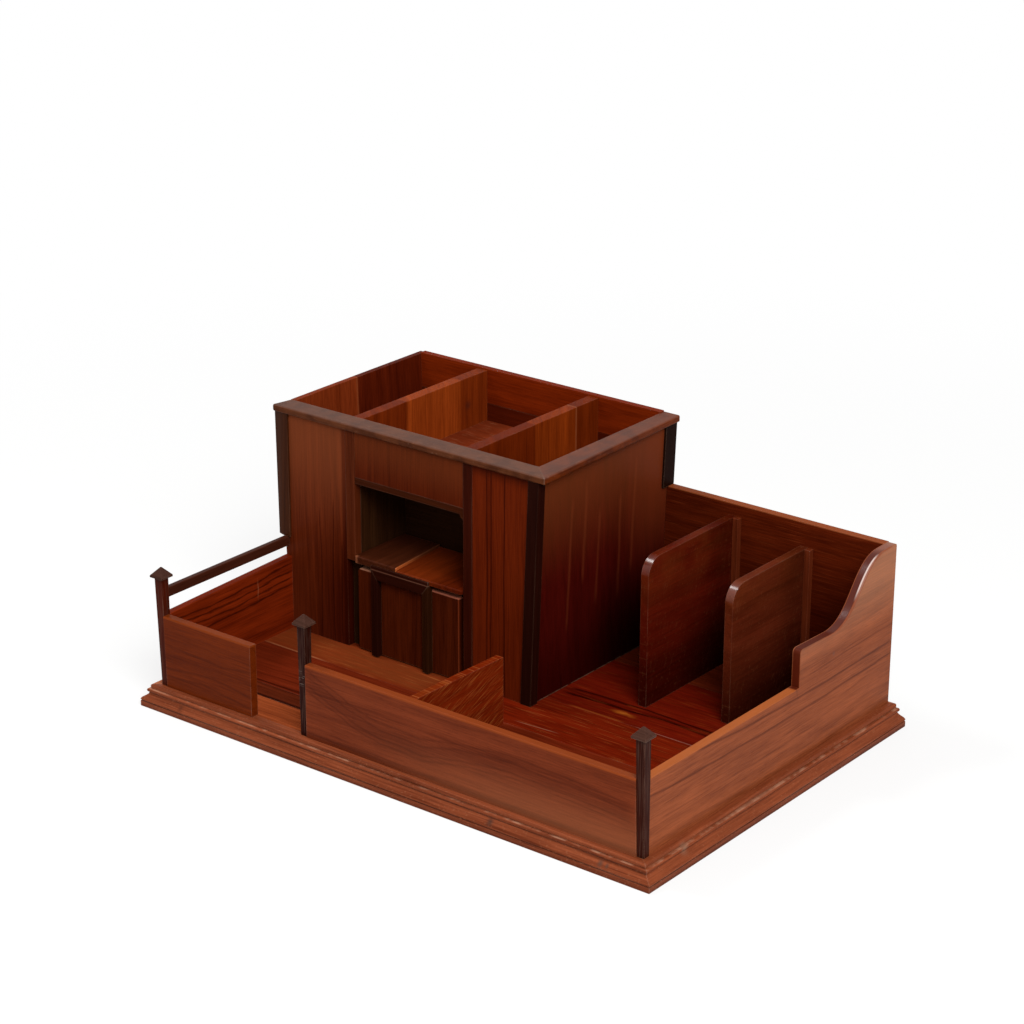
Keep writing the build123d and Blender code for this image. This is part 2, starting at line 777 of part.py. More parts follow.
os.makedirs("parts", exist_ok=True)
to_bottom_centre = Pos((left_reach - length - right_reach) / 2, (front_reach - depth - back_reach) / 2, 0)
for node, piece in pieces.items():
    export_step(to_bottom_centre * piece, f"parts/{node}.step")
print(len(pieces), "pieces")
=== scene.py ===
# %% [markdown]
# # A desk organizer with a lift lid and a drawer
# The part is an old tray of red-brown hardwood. A moulded base carries low walls with posts,
# a letter rack, and a tower with open wells, a niche with a lid for a floor, and a drawer.
# Its solids come packed as a fixed frame, so this lesson adds what the solids lack: softened arrises,
# the figure of each board, old polish, worn wood, painted highlights and painted shade, a floor, light
# and a camera.
# The first cell loads the frame.

# %% Load the frame
import math
import random

import bpy
from mathutils import Matrix, Vector

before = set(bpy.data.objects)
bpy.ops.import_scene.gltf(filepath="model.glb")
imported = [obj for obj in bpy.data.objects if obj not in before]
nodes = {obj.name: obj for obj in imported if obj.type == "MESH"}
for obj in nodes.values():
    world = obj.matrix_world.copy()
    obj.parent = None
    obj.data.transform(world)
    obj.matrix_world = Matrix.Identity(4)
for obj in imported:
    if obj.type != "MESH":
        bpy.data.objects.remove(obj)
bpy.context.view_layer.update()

# %% [markdown]
# ## Millimetres on the bench
# Blender works in metres from the middle of the base. A maker measures from a corner, so the
# marks in this lesson are given in millimetres from the outer front left corner of the walls.
# One function turns such a place into Blender's metres.

# %% Places in millimetres
corner_offset = Vector((200.1, 138.8, 0.0))


def metres(x, y, z):
    """A place in mm from the front left corner of the walls, as a point in metres."""
    return (Vector((x, y, z)) - corner_offset) / 1000


print("front left corner of the walls:", [round(c, 4) for c in metres(0, 0, 0)])

# %% [markdown]
# ## The camera
# The tray is seen from its front right corner, a little from above, through a long lens that
# keeps its upright lines nearly parallel. A camera could be turned with three angles, but its
# matrix is clearer here: three directions, right, up and back, and the place it stands at.

# %% Set up the camera
camera_turn = math.radians(38.06)
camera_rise = math.radians(21.14)
camera_roll = math.radians(0.19)
camera_away = 2.0777
camera_lens = 98.89
looked_at = metres(57.2, 311.6, 60.0)

back = Vector((
    math.sin(camera_turn) * math.cos(camera_rise),
    -math.cos(camera_turn) * math.cos(camera_rise),
    math.sin(camera_rise),
))
level_right = (-back).cross(Vector((0, 0, 1))).normalized()
level_up = level_right.cross(-back)
right = level_right * math.cos(camera_roll) + level_up * math.sin(camera_roll)
up = level_up * math.cos(camera_roll) - level_right * math.sin(camera_roll)
camera = bpy.data.objects.new("camera", bpy.data.cameras.new("camera"))
turned = Matrix((right, up, back)).transposed().to_4x4()
camera.matrix_world = Matrix.Translation(looked_at + back * camera_away) @ turned
camera.data.sensor_width = 36.0
camera.data.lens = camera_lens
bpy.context.scene.collection.objects.link(camera)
bpy.context.scene.camera = camera
print("camera stands at", [round(c, 3) for c in camera.location])

# %% [markdown]
# ## Shader sums as plain Python
# A material is a sheet of nodes joined by wires. Placing every node by hand hides the idea
# under bookkeeping, so one small class wraps a socket, and 1 - mask or depth * 0.5 adds the
# Math node that does it to the sheet that the wire lies on.

# %% A socket that can be added and multiplied
class Wire:
    """An output of a node. Sums on it add Math nodes to its sheet."""

    def __init__(self, sheet, socket):
        self.sheet = sheet
        self.socket = socket

    def sum(self, operation, *parts):
        return self.sheet.add("ShaderNodeMath", {"operation": operation}, dict(enumerate(parts)))

    def __add__(self, other):
        return self.sum("ADD", self, other)

    def __radd__(self, other):
        return self.sum("ADD", other, self)

    def __sub__(self, other):
        return self.sum("SUBTRACT", self, other)

    def __rsub__(self, other):
        return self.sum("SUBTRACT", other, self)

    def __mul__(self, other):
        return self.sum("MULTIPLY", self, other)

    def __rmul__(self, other):
        return self.sum("MULTIPLY", other, self)

    def __abs__(self):
        return self.sum("ABSOLUTE", self)


print("wires can be added, subtracted and multiplied, and abs() takes their sign away")

# %% [markdown]
# ## One way to add a node
# Every node needs the same three things: its type, its settings and what goes into its
# sockets. Settings come first, because some of them change which sockets a node shows. A
# number goes on the socket itself, a wire is linked to it, and the result is a wire again.

# %% A sheet of nodes
class Sheet:
    """The nodes of one material, or of the world."""

    def __init__(self, owner):
        owner.use_nodes = True
        self.tree = owner.node_tree
        self.tree.nodes.clear()

    def add(self, kind, settings=None, sockets=None, out=0):
        """Adds a node: its settings first, then the numbers and wires of its sockets."""
        node = self.tree.nodes.new(kind)
        for name, value in (settings or {}).items():
            if name == "stops":
                set_stops(node.color_ramp, value)
            else:
                setattr(node, name, value)
        for name, value in (sockets or {}).items():
            if isinstance(value, Wire):
                self.tree.links.new(value.socket, node.inputs[name])
            else:
                node.inputs[name].default_value = value
        return Wire(self, node.outputs[out]) if node.outputs else node


def set_stops(ramp, stops):
    """Gives a ramp its stops: pairs of a place from 0 to 1 and a grey or a colour."""
    while len(ramp.elements) > 1:
        ramp.elements.remove(ramp.elements[-1])
    for i, (place, value) in enumerate(stops):
        element = ramp.elements[0] if i == 0 else ramp.elements.new(place)
        element.position = place
        element.color = value if hasattr(value, "__len__") else (value, value, value, 1)


print("a sheet adds nodes by type, settings and sockets")

# %% [markdown]
# ## Colours as a painter writes them
# Shaders reckon with light, and a colour picked on a screen is coded in steps that suit the
# eye. So a colour is written the way a screen shows it, as six hex digits, and turned into
# light once. Two colours are mixed with a Mix node, because a Math node would turn them grey.

# %% Colours, mixing and soft limits
def paint(code):
    """A colour written as six hex digits, as linear light."""
    parts = [int(code[i:i + 2], 16) / 255 for i in (0, 2, 4)]
    linear = [p / 12.92 if p <= 0.04045 else ((p + 0.055) / 1.055) ** 2.4 for p in parts]
    return (*linear, 1.0)


def mix(sheet, share, first, second, how="MIX"):
    """Colour first where share is 0, second where it is 1."""
    settings = {"data_type": "RGBA", "blend_type": how, "clamp_factor": True}
    return sheet.add("ShaderNodeMix", settings, {0: share, 6: first, 7: second}, out=2)


def rise(value, low, high, bottom=0.0, top=1.0):
    """Goes softly from bottom to top while value goes from low to high."""
    sockets = {0: value, 1: low, 2: high, 3: bottom, 4: top}
    return value.sheet.add("ShaderNodeMapRange", {"interpolation_type": "SMOOTHSTEP"}, sockets)


def bell(value, middle, reach):
    """A soft hill: 1 at middle, 0 at reach on either side."""
    return rise(abs(value - middle), 0.0, reach, 1.0, 0.0)


print("polish brown as light:", [round(c, 3) for c in paint("7a3a1c")])

# %% [markdown]
# ## Where a point of a board lies
# Wood has one direction, and every board here was cut from another place in the log. The
# pattern is therefore drawn from the place of each point in millimetres, not from unwrapped
# maps, and it stays with a board when the drawer slides or the lid lifts.

# %% The place of a surface point
X, Y, Z = 0, 1, 2                # which way the grain of a board runs


def place(sheet):
    """The point in mm from the corner of the walls: as one vector and as x, y and z."""
    seen = sheet.add("ShaderNodeTexCoord", out="Object")
    sockets = {0: seen, 1: (1000.0, 1000.0, 1000.0), 2: tuple(corner_offset)}
    at = sheet.add("ShaderNodeVectorMath", {"operation": "MULTIPLY_ADD"}, sockets)
    split = sheet.add("ShaderNodeSeparateXYZ", sockets={0: at}).socket.node
    return at, [Wire(sheet, output) for output in split.outputs]


def drawn_out(at, along, seed, length, width, detail=2.0):
    """Noise drawn out along the grain, in patches of that length and width in mm."""
    sheet = at.sheet
    scale = [1 / width] * 3
    scale[along] = 1 / length
    start = (seed * 7.31, seed * 3.77, seed * 5.19)  # each seed starts elsewhere in the noise
    moved = sheet.add("ShaderNodeVectorMath", {"operation": "MULTIPLY_ADD"},
                      {0: at, 1: scale, 2: start})
    sockets = {"Vector": moved, "Scale": 1.0, "Detail": detail, "Roughness": 0.55}
    return sheet.add("ShaderNodeTexNoise", sockets=sockets)


def layers(ring, period, seed, detail=3.0):
    """Growth layers: noise that changes only from ring to ring, period mm apart."""
    settings = {"noise_dimensions": "1D"}
    sockets = {"W": ring * (1 / period) + seed * 11.7, "Scale": 1.0, "Detail": detail,
               "Roughness": 0.6}
    return ring.sheet.add("ShaderNodeTexNoise", settings, sockets)


print("grain can run along", dict(x=X, y=Y, z=Z))

# %% [markdown]
# ## The kinds of wood
# One old red-brown hardwood was used throughout, but its pieces have different habits: the
# outer boards are smooth and quiet, the tower's are streaked, the strips and posts are nearly
# black. Each kind is a short list of numbers, so that one recipe can make them all.

# %% Habits of each kind
class Kind:
    """What sets one kind of board apart: how strongly each part of its pattern shows."""
    contrast = 0.5     # from the darkest wood to the palest
    bands = 0.8        # growth layers
    period = 6.0       # mm from layer to layer
    wander = 5.0       # mm that a layer strays from a straight line
    fibre = 0.8
    cloud = 0.6        # large soft patches
    veins = 0.25
    pores = 0.12
    # pale arrises: worn wood and a painted highlight in one
    wear_and_highlight = 0.25        # pale wood on the arrises
    shine = 0.4        # polish left on the arrises
    roughness = 0.4
    gloss = 0.05

    def __init__(self, **habits):
        self.__dict__.update(habits)


kinds = {
    "base": Kind(contrast=0.55, period=4.0, wander=2.5, fibre=1.2, veins=0.35, wear_and_highlight=0.3, gloss=0.04),
    "wall": Kind(contrast=0.42, period=7.0, bands=0.5, fibre=1.1, pores=0.2, gloss=0.03),
    "panel": Kind(fibre=1.2, pores=0.2, wear_and_highlight=0.06, gloss=0.04, shine=0.1),
    "side": Kind(contrast=0.6, fibre=1.1, veins=0.3, gloss=0.01),
    "divider": Kind(period=3.5, fibre=1.1, gloss=0.015),
    "floor": Kind(contrast=0.55, period=5.0, fibre=1.3, veins=0.3, gloss=0.01),
    "tower": Kind(period=3.5, fibre=1.0, gloss=0.01),
    "inner": Kind(period=5.0, fibre=1.1, pores=0.2, gloss=0.01),
    "rack": Kind(period=8.0, fibre=1.1, gloss=0.006, shine=0.3),
    "dark": Kind(contrast=0.45, period=2.5, fibre=1.2, veins=0.2, wear_and_highlight=0.35, gloss=0.03),
    "black": Kind(contrast=0.4, period=2.5, fibre=1.0, veins=0.2, wear_and_highlight=0.3, gloss=0.01),
    "lid": Kind(contrast=0.6, period=4.0, fibre=1.2, veins=0.3, gloss=0.02),
    "plain": Kind(contrast=0.35, period=4.0, veins=0.15, gloss=0.1, roughness=0.6),
}
print("kinds of wood:", ", ".join(kinds))

# %% [markdown]
# ## Growth rings
# A sawn face cuts through the yearly layers of a trunk. Noise in space would give clouds, so a
# ring number is worked out for every point instead: it grows across the board, leans a little
# and wanders slowly along the grain. Bands and veins are then noise of that number alone, and
# run the whole length of a board as real ones do.

# %% Number the rings
def ring_number(at, parts, along, seed, kind):
    """A number that changes across the growth layers and wanders along the grain."""
    across = [p for i, p in enumerate(parts) if i != along]
    chance = random.Random(seed)
    turn = chance.uniform(0.6, 0.95)
    wander = (drawn_out(at, along, seed, length=120.0, width=30.0) - 0.5) * (kind.wander * 2)
    lean = parts[along] * chance.uniform(-0.02, 0.02)
    return across[0] * turn + across[1] * math.sqrt(1 - turn * turn) + wander + lean


print("rings wander by up to", kinds["wall"].wander, "mm on a wall")

# %% [markdown]
# ## Worn arrises and a painted highlight
# Hands and dusters rub the varnish off the edges first, so paler wood shows there, and the same pale
# edge is also a painted highlight along every arris. A Bevel node finds an arris without any painting:
# it rounds the normal near an edge, and the more the rounded normal leaves the true one, the nearer the
# edge is.

# %% Find the arrises
arris_reach = 1.0                 # mm from the arris
worn_and_highlit_wood = paint("c9a184")


def arris_mask(sheet):
    """1 on an arris, 0 on the flat: where the rounded normal leaves the true one."""
    rounded = sheet.add("ShaderNodeBevel", {"samples": 4}, {"Radius": arris_reach / 1000})
    flat = sheet.add("ShaderNodeNewGeometry", out="Normal")
    same = sheet.add("ShaderNodeVectorMath", {"operation": "DOT_PRODUCT"}, {0: rounded, 1: flat},
                     out="Value")
    return rise(1 - same, 0.02, 0.25)


print("arrises are worn for", arris_reach, "mm")

# %% [markdown]
# ## Darker and paler wood
# Varnished wood doesn't turn grey when it darkens. Its red stays and its green and blue go, so
# a tone moves the three by different shares. These sums are on plain numbers, known before any
# node is made, and stay in Python.

# %% Tones of a colour
def toned(colour, amount):
    """A colour made darker or lighter as wood does it: red holds, green and blue move more."""
    red, green, blue, alpha = colour
    gain = [1 + amount * share for share in (1.0, 1.2, 1.35)]
    return (red * gain[0], green * max(gain[1], 0.05), blue * max(gain[2], 0.03), alpha)


def blended(first, second, share):
    """Two colours mixed in Python, when both are known beforehand."""
    return tuple(a + (b - a) * share for a, b in zip(first, second))


print("a wall's dark layer:", [round(c, 3) for c in toned(paint("642913"), -0.42)])

# %% [markdown]
# ## One recipe for a board
# On top of the rings lie fine fibres, clouds of colour, dark veins where a layer was dense and short
# open pores, each as noise drawn out along the grain. Then come the marks of the piece, some of them
# painted highlights and painted shade, the pale arrises, partly worn wood and partly a painted
# highlight, and the polish. All boards share this recipe, because one recipe with a new seed and a
# colour for each board is quicker to judge and to change than fifty materials.

# %% Make the wood of one board
polish_roughness = 0.2
relief = 0.06                    # mm from the bottom of a pore to the top of a fibre


def dress(node, material):
    """Gives a node of the frame this material alone."""
    nodes[node].data.materials.clear()
    nodes[node].data.materials.append(material)


def board(node, kind_name, along, seed, code, marks=(), rubbed=None):
    """Gives one CAD node a piece of wood of its own, shiny where hands have rubbed it."""
    kind = kinds[kind_name]
    material = bpy.data.materials.new(node)
    sheet = Sheet(material)
    at, parts = place(sheet)
    ring = ring_number(at, parts, along, seed, kind)
    fibre = drawn_out(at, along, seed + 3, length=26.0, width=0.8, detail=3.0)
    cloud = drawn_out(at, along, seed + 5, length=70.0, width=20.0)
    pore = rise(drawn_out(at, along, seed + 9, length=6.0, width=0.45, detail=1.0), 0.56, 0.70)
    vein = rise(layers(ring, kind.period * 0.45, seed + 2, 2.0), 0.58, 0.72)
    vein = vein * rise(drawn_out(at, along, seed + 4, length=80.0, width=10.0), 0.40, 0.62)
    tone = (layers(ring, kind.period, seed) * kind.bands + fibre * kind.fibre
            + cloud * kind.cloud + (0.5 - (kind.bands + kind.fibre + kind.cloud) / 2))
    middle = paint(code)
    colour = mix(sheet, tone, toned(middle, -kind.contrast), toned(middle, kind.contrast))
    colour = mix(sheet, vein * kind.veins, colour, toned(middle, -0.8))
    colour = mix(sheet, pore * kind.pores, colour, toned(middle, -0.8))
    for mark in marks:
        colour = mark(at, parts, colour)
    # the pale arrises mix worn wood with a painted highlight
    edge = arris_mask(sheet) * rise(cloud, 0.35, 0.65, 0.2, 1.0)
    colour = mix(sheet, edge * kind.wear_and_highlight, colour, blended(middle, worn_and_highlit_wood, 0.45))
    coat = edge * kind.shine
    if rubbed:
        hand = rubbed(at, *parts)
        coat = coat * (1 - hand) + hand
    roughness = fibre * 0.12 + cloud * 0.16 + (kind.roughness - 0.14)
    height = fibre * 0.6 - pore * 0.8
    bump = sheet.add("ShaderNodeBump", sockets={
        "Strength": 0.4, "Distance": relief / 1000, "Height": height})
    shader = sheet.add("ShaderNodeBsdfPrincipled", sockets={
        "Base Color": colour, "Roughness": roughness, "Normal": bump,
        "Specular IOR Level": kind.gloss, "Coat Weight": coat,
        "Coat Roughness": polish_roughness})
    sheet.add("ShaderNodeOutputMaterial", sockets={"Surface": shader})
    dress(node, material)


print("one recipe, and a different board for each seed")

# %% [markdown]
# ## Marks that belong to one place
# Some things are not pattern but history, such as a grey streak in the right panel or a filled nail
# hole, and some are painted highlights and painted shade at one place. They lie where they lie, so each
# is a soft mask in millimetres. A streak follows a line of points, which a ramp holds as heights along
# the board, and its edges are ragged by noise. A mark then mixes a tint into the colour, or multiplies
# it to darken.

# %% Tools for marks
def along_path(value, points):
    """The height of a smooth line of points (place, height) at a place along a board."""
    places = [p for p, _ in points]
    heights = [h for _, h in points]
    low, high = min(heights), max(heights) + 0.001
    share = (value - places[0]) * (1 / (places[-1] - places[0]))
    stops = [((p - places[0]) / (places[-1] - places[0]), (h - low) / (high - low))
             for p, h in points]
    ramp = value.sheet.add("ShaderNodeValToRGB", {"stops": stops}, {0: share})
    return ramp * (high - low) + low


def window(value, low, high, soft=2.0):
    """1 between low and high, 0 outside, with soft ends."""
    return rise(value, low - soft, low + soft) * rise(value, high - soft, high + soft, 1.0, 0.0)


def streak(run, height, points, width, ragged=0.0):
    """A line of points as a mask: run is the place along it, height the place across it."""
    middle = along_path(run, points)
    mask = bell(height + ragged - middle, 0.0, width)
    return mask * window(run, points[0][0], points[-1][0], 6.0)


def tint(code, share, where):
    """A mark that mixes a colour in where its mask, made from at and x, y, z, says."""
    def mark(at, parts, colour):
        return mix(at.sheet, where(at, *parts) * share, colour, paint(code))
    return mark


def shade(code, share, where):
    """A mark that multiplies by a colour, as a stain does, or as painted shade."""
    def mark(at, parts, colour):
        return mix(at.sheet, where(at, *parts) * share, colour, paint(code), "MULTIPLY")
    return mark


def specks(at, seed, size, low, high):
    """Small scattered spots."""
    sheet = at.sheet
    start = (seed * 3.1, seed * 5.3, seed * 7.9)
    moved = sheet.add("ShaderNodeVectorMath", {"operation": "ADD"}, {0: at, 1: start})
    sockets = {"Vector": moved, "Scale": 1 / size, "Detail": 2.0}
    return rise(sheet.add("ShaderNodeTexNoise", sockets=sockets), low, high)


print("streaks, windows, tints and stains are ready")

# %% [markdown]
# ## The history of each face
# Beside the soft masks above, old wood needs a few shapes more: a streak whose edge wanders,
# several streaks at once, a scatter of scratches and a round spot. Each one takes the place
# along the board and across it as wires, so that it can lie on any face and at any slope.

# %% Shapes of marks
def ragged(at, along, seed, size, length=40.0, width=8.0):
    """A small sideways wander in mm, for the edge of a streak."""
    return (drawn_out(at, along, seed, length, width, 3.0) - 0.5) * (size * 2)


def lines(run, height, paths, width, ragged_by):
    """Several streaks as one mask."""
    mask = streak(run, height, paths[0], width, ragged_by)
    for path in paths[1:]:
        mask = mask + streak(run, height, path, width, ragged_by)
    return mask


def scratches(run, across, seed, length=14.0, width=0.6, low=0.62):
    """Fine lines that run in any direction: run is the place along them."""
    sheet = run.sheet
    vector = sheet.add("ShaderNodeCombineXYZ", sockets={
        0: run * (1 / length), 1: across * (1 / width), 2: float(seed)})
    sockets = {"Vector": vector, "Scale": 1.0, "Detail": 1.0}
    return rise(sheet.add("ShaderNodeTexNoise", sockets=sockets), low, low + 0.1)


def spot(first, second, middle, reach):
    """A soft round spot on a face, from its two coordinates."""
    return bell(first, middle[0], reach) * bell(second, middle[1], reach)


marks = {}
print("wandering edges, groups of streaks, scratches and round spots are ready")

# %% [markdown]
# ## The right panel
# This panel is one wide board with two long grey streaks, a small filled hole and a crack at the step.
# Its swept top edge and a band of the outer face along it are painted darker, and a painted highlight
# runs as a pale line on the outer arris. The curve of the sweep is written down once, as a path, and
# both edge marks follow it.

# %% Mark the right panel
panel_streaks = [[(56, 66), (100, 63), (140, 61.5), (200, 60), (281, 61.5)],
                 [(4, 55), (50, 52.5), (110, 51), (200, 50.5), (281, 53)]]
panel_faint = [[(22, 44), (48, 44.5)], [(155, 40), (185, 40.5)], [(215, 43), (252, 46)],
               [(20, 36), (120, 33), (200, 34)], [(180, 72), (281, 74)]]
sweep = [(196, 91.2), (213.4, 91.6), (222.9, 95.4), (230.4, 101.2), (238.0, 110.0),
         (245.9, 119.0), (253.8, 125.8), (263.2, 129.0), (276, 129.4)]
marks["side_panel_right"] = [
    shade("ab9a96", 0.75, lambda at, x, y, z: lines(
        y, z, panel_streaks, 1.6, ragged(at, Y, 201, 1.2))),
    shade("b4a4a0", 0.45, lambda at, x, y, z: lines(
        y, z, panel_faint, 1.1, ragged(at, Y, 202, 1.0))),
    tint("a15423", 0.6, lambda at, x, y, z: window(z, 66.4, 70.0, 0.3) * window(y, 2, 164)),
    tint("ab7a5c", 0.35, lambda at, x, y, z: rise(z, 70, 120)),
    tint("5a3c34", 0.6, lambda at, x, y, z: spot(y, z, (208, 77), 2.2)),
    tint("3a1a10", 0.8, lambda at, x, y, z: streak(
        z, y, [(62, 166), (68, 165), (73, 166.5)], 0.5)),
    # the band of the outer face along the sweep is painted darker
    tint("7c3c20", 0.85, lambda at, x, y, z: rise(
        z - along_path(y, sweep), -0.8, 0.8) * window(y, 198, 276, 4)),
    # the face of the sweep is painted nearly black
    tint("400f05", 0.92, lambda at, x, y, z: window(x, 394.4, 399.6, 0.4) * rise(
        y, 163, 166) * rise(y, 255, 270, 1.0, 0.3)),
    # painted highlight: a pale line along the outer arris of the sweep
    tint("d8c4bc", 0.7, lambda at, x, y, z: window(x, 398.8, 399.9, 0.2) * window(
        y, 234, 256, 4) * rise(z - along_path(y, sweep), 0.5, 2.0)),
]
print("the right panel has", len(marks["side_panel_right"]), "marks")

# %% [markdown]
# ## The low walls
# The right front wall carries one broad dark wave of grain, the left side wall dark ragged
# lines, and the divider was scratched askew by what lay beside it. Tops are rubbed to a paler
# brown. The wave's fine lines are the same path, moved up and down.

# %% Mark the low walls
wave = [(134, 57), (170, 43), (195, 37), (230, 36), (260, 42), (300, 46), (345, 45), (392, 41)]
wave_lines = [[(p, h + lift) for p, h in wave] for lift in (-7, -3.5, 3, 7.5)]
left_wall_lines = [[(8, 61), (50, 60), (90, 62), (127, 66)], [(8, 57), (60, 55), (127, 60)],
                   [(20, 52), (70, 50.5), (127, 55)], [(40, 46), (90, 47), (127, 50)]]
marks["front_wall_right"] = [
    shade("b0a0a4", 0.4, lambda at, x, y, z: streak(
        x, z, wave, 12.0, ragged(at, X, 203, 3.0))),
    shade("a89890", 0.35, lambda at, x, y, z: lines(
        x, z, wave_lines, 1.3, ragged(at, X, 204, 2.0))),
    shade("a08c88", 0.5, lambda at, x, y, z: window(z, 17.0, 20.5, 1.5)),
    # painted reflection: the lower right of the wall is painted paler and milkier
    tint("ac6c48", 0.2, lambda at, x, y, z: rise(z, 20, 50, 1.0, 0.0) * rise(x, 150, 330)),
    tint("8c3f16", 0.45, lambda at, x, y, z: window(z, 65.6, 70.0, 0.4)),
]
marks["front_wall_left"] = [
    shade("a09490", 0.4, lambda at, x, y, z: lines(
        x, z, [[(6, 30), (50, 34), (84, 30)], [(6, 24), (40, 27), (84, 22)],
               [(6, 47), (60, 45), (84, 48)]], 1.6, ragged(at, X, 205, 1.5))),
    tint("8c3f16", 0.35, lambda at, x, y, z: window(z, 65.6, 70.0, 0.4)),
]
marks["side_wall_left"] = [
    shade("4c3028", 0.7, lambda at, x, y, z: lines(
        y, z, left_wall_lines, 1.2, ragged(at, Y, 206, 2.2, 22.0, 5.0))),
    tint("a86848", 0.35, lambda at, x, y, z: streak(
        z, y, [(52, 92), (57, 92.5), (61, 92)], 0.9)),
]
marks["tray_divider"] = [
    tint("b86c3c", 0.4, lambda at, x, y, z: scratches(
        y + z * 0.25, z - y * 0.25, 11, 22.0, 0.5)),
    tint("a8602c", 0.35, lambda at, x, y, z: scratches(
        y + z * 0.45, z - y * 0.45, 13, 26.0, 0.7, 0.58)),
    tint("7c3410", 0.3, lambda at, x, y, z: window(z, 65.8, 70.0, 0.4)),
]
marks["back_panel"] = [
    tint("944c28", 0.6, lambda at, x, y, z: window(z, 129.4, 132.0, 0.4)),
    tint("8c4020", 0.2, lambda at, x, y, z: scratches(x, z, 23, 24.0, 0.6, 0.6)),
    shade("a08078", 0.6, lambda at, x, y, z: rise(z, 60, 110, 1.0, 0.0)),
]
print("the wave runs from", wave[0], "to", wave[-1])

# %% [markdown]
# ## The floor
# Six boards lie side by side. Dark lines beside their seams are old glue and dirt, a burnt
# orange blotch lies in front of the rack, and things slid about have left fine scratches.

# %% Mark the floor boards
marks["floor_board_2"] = [
    shade("5c4038", 0.8, lambda at, x, y, z: window(y, 28.0, 31.5, 1.0)),
]
marks["floor_board_3"] = [
    shade("5c4038", 0.7, lambda at, x, y, z: streak(
        x, y, [(6, 47), (90, 48), (200, 46), (394, 48)], 1.5, ragged(at, X, 207, 1.5))),
]
marks["floor_board_4"] = [
    tint("9a5a2c", 0.2, lambda at, x, y, z: window(x, -20, 150, 15) * window(y, 98, 130, 6)),
    tint("a87048", 0.35, lambda at, x, y, z: window(y, 96, 98.5, 0.5) * window(x, 8, 60, 9)),
    tint("a07c60", 0.3, lambda at, x, y, z: streak(x, y, [(226, 104), (254, 106)], 0.8)),
    tint("b06c38", 0.3, lambda at, x, y, z: scratches(x, y, 15, 30.0, 0.7)),
]
marks["floor_board_5"] = [
    tint("a0501c", 0.4, lambda at, x, y, z: window(y, 144, 146.5, 0.9) * window(x, 238, 278, 5)),
    tint("a88878", 0.25, lambda at, x, y, z: window(y, 144, 145.6, 0.7) * window(
        x, 292, 338, 4)),
    shade("4a3028", 0.85, lambda at, x, y, z: lines(
        x, y, [[(222, 160), (300, 165), (394, 160)], [(222, 168), (280, 171), (394, 167)]],
        2.2, ragged(at, X, 208, 2.5, 30.0, 6.0))),
    tint("b0601c", 0.6, lambda at, x, y, z: bell(x, 272, 13) * bell(
        y + ragged(at, X, 209, 3.0, 9.0, 4.0), 157, 3.6)),
    tint("9a4a1c", 0.2, lambda at, x, y, z: scratches(x, y, 16, 26.0, 0.9, 0.6)),
]
marks["floor_board_6"] = [
    tint("8a3c14", 0.2, lambda at, x, y, z: scratches(x, y, 17, 24.0, 1.2, 0.58)),
]
print("marks on the floor:", sum(len(marks[f"floor_board_{i}"]) for i in range(2, 7)))

# %% [markdown]
# ## The tower
# The upper half of the tower is painted paler and milkier, a painted reflection in its polish, and the
# lower half is painted darker, as painted shade from the walls and the rack. A painted shadow lies
# under the rim and in the reveal beside the niche. The streaks run upright, with the grain. The
# partitions and the left wall are strips glued edge to edge, so each strip gets its own tone.

# %% Mark the tower
marks["tower_front_board_left"] = [
    # painted reflection: a milky sheen on the upper half
    tint("8a4c2c", 0.3, lambda at, x, y, z: rise(z, 85, 170)),
    # painted shade on the board's edge in the reveal beside the niche
    shade("b09088", 0.7, lambda at, x, y, z: rise(x, 53, 55)),
    # painted shade: the lower part of the board is darker
    shade("8c4a38", 0.6, lambda at, x, y, z: rise(z, 55, 115, 1.0, 0.0) * rise(x, 10, 50)),
    shade("6a4038", 0.6, lambda at, x, y, z: lines(
        z, x, [[(18, 33), (70, 34), (110, 33)], [(18, 45), (60, 44), (120, 46)],
               [(18, 52), (90, 53)]], 1.1, ragged(at, Z, 210, 1.2))),
]
marks["lintel_board"] = [
    # painted reflection: a milky sheen at the top
    tint("7c4020", 0.2, lambda at, x, y, z: rise(z, 140, 170)),
]
marks["tower_front_board_right"] = [
    shade("6a4030", 0.7, lambda at, x, y, z: lines(
        z, x, [[(18, 180), (90, 180.6), (174, 180)], [(18, 183.4), (174, 183.8)],
               [(18, 195), (100, 194.4), (174, 195.2)]], 1.0, ragged(at, Z, 211, 0.8))),
    # painted shadow under the rim
    shade("6a4a40", 0.6, lambda at, x, y, z: rise(z, 166, 176)),
]
marks["tower_wall_right"] = [
    # painted reflection: a milky sheen on the upper half
    tint("804420", 0.3, lambda at, x, y, z: rise(z, 90, 178)),
    tint("6a2c14", 0.4, lambda at, x, y, z: rise(y, 215, 262) * rise(z, 60, 120)),
    # painted shade: darker towards the bottom
    shade("a08884", 0.7, lambda at, x, y, z: rise(z, 20, 75, 1.0, 0.0)),
    tint("6e3018", 0.3, lambda at, x, y, z: lines(
        z, y, [[(70, 197), (135, 197.5)], [(65, 222), (140, 221)], [(60, 165), (150, 166)],
               [(90, 181), (160, 181)], [(80, 236), (160, 237)]], 2.2,
        ragged(at, Z, 212, 1.6))),
    # painted shade from the rack: darker low down and towards the back
    shade("5a2418", 0.6, lambda at, x, y, z: rise(y, 150, 230) * rise(z, 40, 120, 1.0, 0.0)),
    tint("8a6c58", 0.4, lambda at, x, y, z: window(z, 14, 16.8, 0.4) * specks(
        at, 47, 6.0, 0.3, 0.6)),
]
